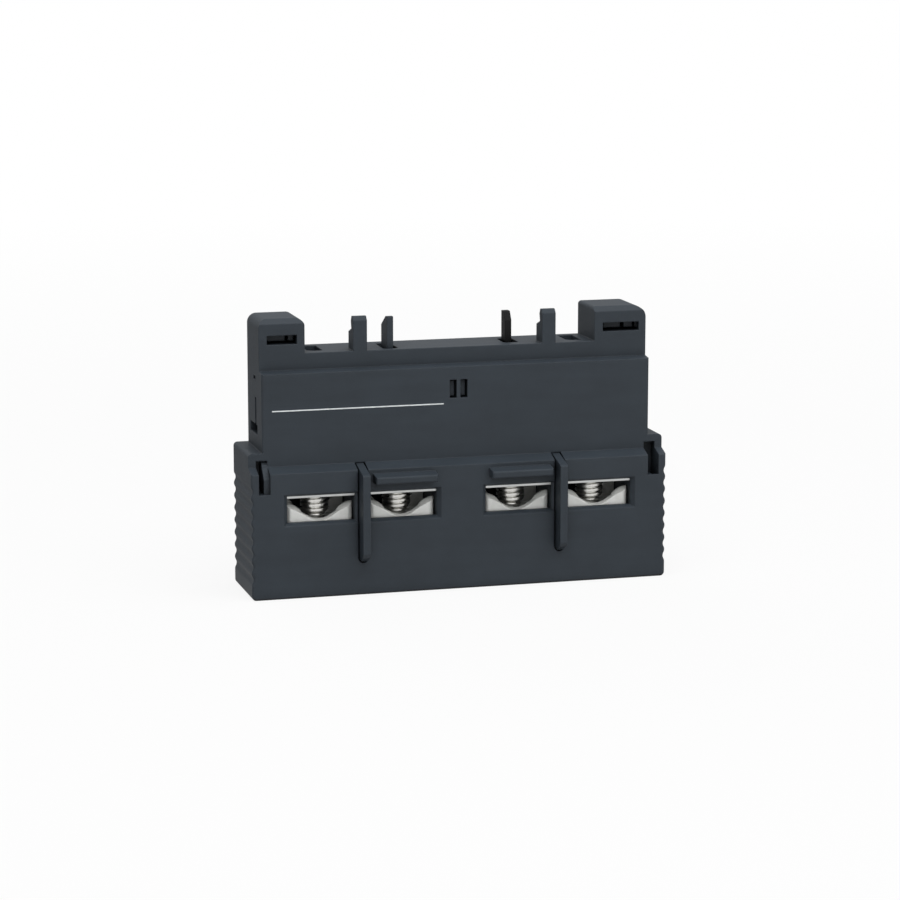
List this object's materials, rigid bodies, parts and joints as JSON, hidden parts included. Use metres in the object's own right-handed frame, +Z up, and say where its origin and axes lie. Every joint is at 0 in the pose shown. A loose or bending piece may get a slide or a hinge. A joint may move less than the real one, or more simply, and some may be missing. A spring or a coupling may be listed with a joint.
{
  "type": "auxiliary contact block",
  "caption": "Plug-in auxiliary contact block with screw clamp terminals behind front windows, plug-in ears, notched tabs and sliding drive blades.",
  "frame": {"origin": "centre of the underside of the grip", "axes": "X along the width, -Y towards the front face with the terminal windows, +Z up towards the plug-in ears"},
  "size_m": [0.0446, 0.0104, 0.0286],
  "materials": {
    "housing_plastic": "fine matt mould texture",
    "carrier_plastic": "satin black",
    "plated_steel": "bright zinc plated, bent sheet",
    "screw_steel": "bright zinc plated",
    "plated_strip": "tin plated",
    "contact_brass": "stamped, satin",
    "contact_silver": "silver contact, satin",
    "spring_steel": "drawn wire"
  },
  "bodies": {
    "housing": {"front_housing": "housing_plastic", "rear_cover": "housing_plastic", "spring_left": "spring_steel", "spring_right": "spring_steel", "terminal_strip_1": "plated_strip", "terminal_strip_2": "plated_strip", "terminal_strip_3": "plated_strip", "terminal_strip_4": "plated_strip", "fixed_tip_1": "contact_silver", "fixed_tip_2": "contact_silver", "fixed_tip_3": "contact_silver", "fixed_tip_4": "contact_silver"},
    "left_carrier": {"carrier_left": "housing_plastic", "bridge_left": "contact_brass", "moving_tip_1": "contact_silver", "moving_tip_2": "contact_silver"},
    "right_carrier": {"carrier_right": "carrier_plastic", "bridge_right": "contact_brass", "moving_tip_3": "contact_silver", "moving_tip_4": "contact_silver"},
    "clamp_1": {"clamp_saddle_1": "plated_steel"},
    "screw_1": {"terminal_screw_1": "screw_steel"},
    "clamp_2": {"clamp_saddle_2": "plated_steel"},
    "screw_2": {"terminal_screw_2": "screw_steel"},
    "clamp_3": {"clamp_saddle_3": "plated_steel"},
    "screw_3": {"terminal_screw_3": "screw_steel"},
    "clamp_4": {"clamp_saddle_4": "plated_steel"},
    "screw_4": {"terminal_screw_4": "screw_steel"}
  },
  "joints": [
    {"name": "left_contact_slide", "type": "slide", "parent": "housing", "child": "left_carrier", "axis": [0, 1, 0], "range_m": [0, 0.00083], "stiffness_N_per_m": 300, "deforming": ["spring_left"]},
    {"name": "right_contact_slide", "type": "slide", "parent": "housing", "child": "right_carrier", "axis": [0, 1, 0], "range_m": [-0.0009, 0], "stiffness_N_per_m": 300, "deforming": ["spring_right"]},
    {"name": "clamp_1_slide", "type": "slide", "parent": "housing", "child": "clamp_1", "axis": [0, 0, 1], "range_m": [-0.0008, 0.0006]},
    {"name": "screw_1_turn", "type": "hinge", "parent": "clamp_1", "child": "screw_1", "pos_m": [-0.0149, -0.00005, 0.0061], "axis": [0, 0, 1], "range_deg": [-576.5, 432.5]},
    {"name": "clamp_2_slide", "type": "slide", "parent": "housing", "child": "clamp_2", "axis": [0, 0, 1], "range_m": [-0.0008, 0.0006]},
    {"name": "screw_2_turn", "type": "hinge", "parent": "clamp_2", "child": "screw_2", "pos_m": [-0.0062, -0.00005, 0.0061], "axis": [0, 0, 1], "range_deg": [-576.5, 432.5]},
    {"name": "clamp_3_slide", "type": "slide", "parent": "housing", "child": "clamp_3", "axis": [0, 0, 1], "range_m": [-0.0008, 0.0006]},
    {"name": "screw_3_turn", "type": "hinge", "parent": "clamp_3", "child": "screw_3", "pos_m": [0.0062, -0.00005, 0.0061], "axis": [0, 0, 1], "range_deg": [-576.5, 432.5]},
    {"name": "clamp_4_slide", "type": "slide", "parent": "housing", "child": "clamp_4", "axis": [0, 0, 1], "range_m": [-0.0008, 0.0006]},
    {"name": "screw_4_turn", "type": "hinge", "parent": "clamp_4", "child": "screw_4", "pos_m": [0.0149, -0.00005, 0.0061], "axis": [0, 0, 1], "range_deg": [-576.5, 432.5]}
  ],
  "couplings": [
    {"joint": "screw_1_turn", "follows": "clamp_1_slide", "rad_per_m": 12566},
    {"joint": "screw_2_turn", "follows": "clamp_2_slide", "rad_per_m": 12566},
    {"joint": "screw_3_turn", "follows": "clamp_3_slide", "rad_per_m": 12566},
    {"joint": "screw_4_turn", "follows": "clamp_4_slide", "rad_per_m": 12566}
  ]
}
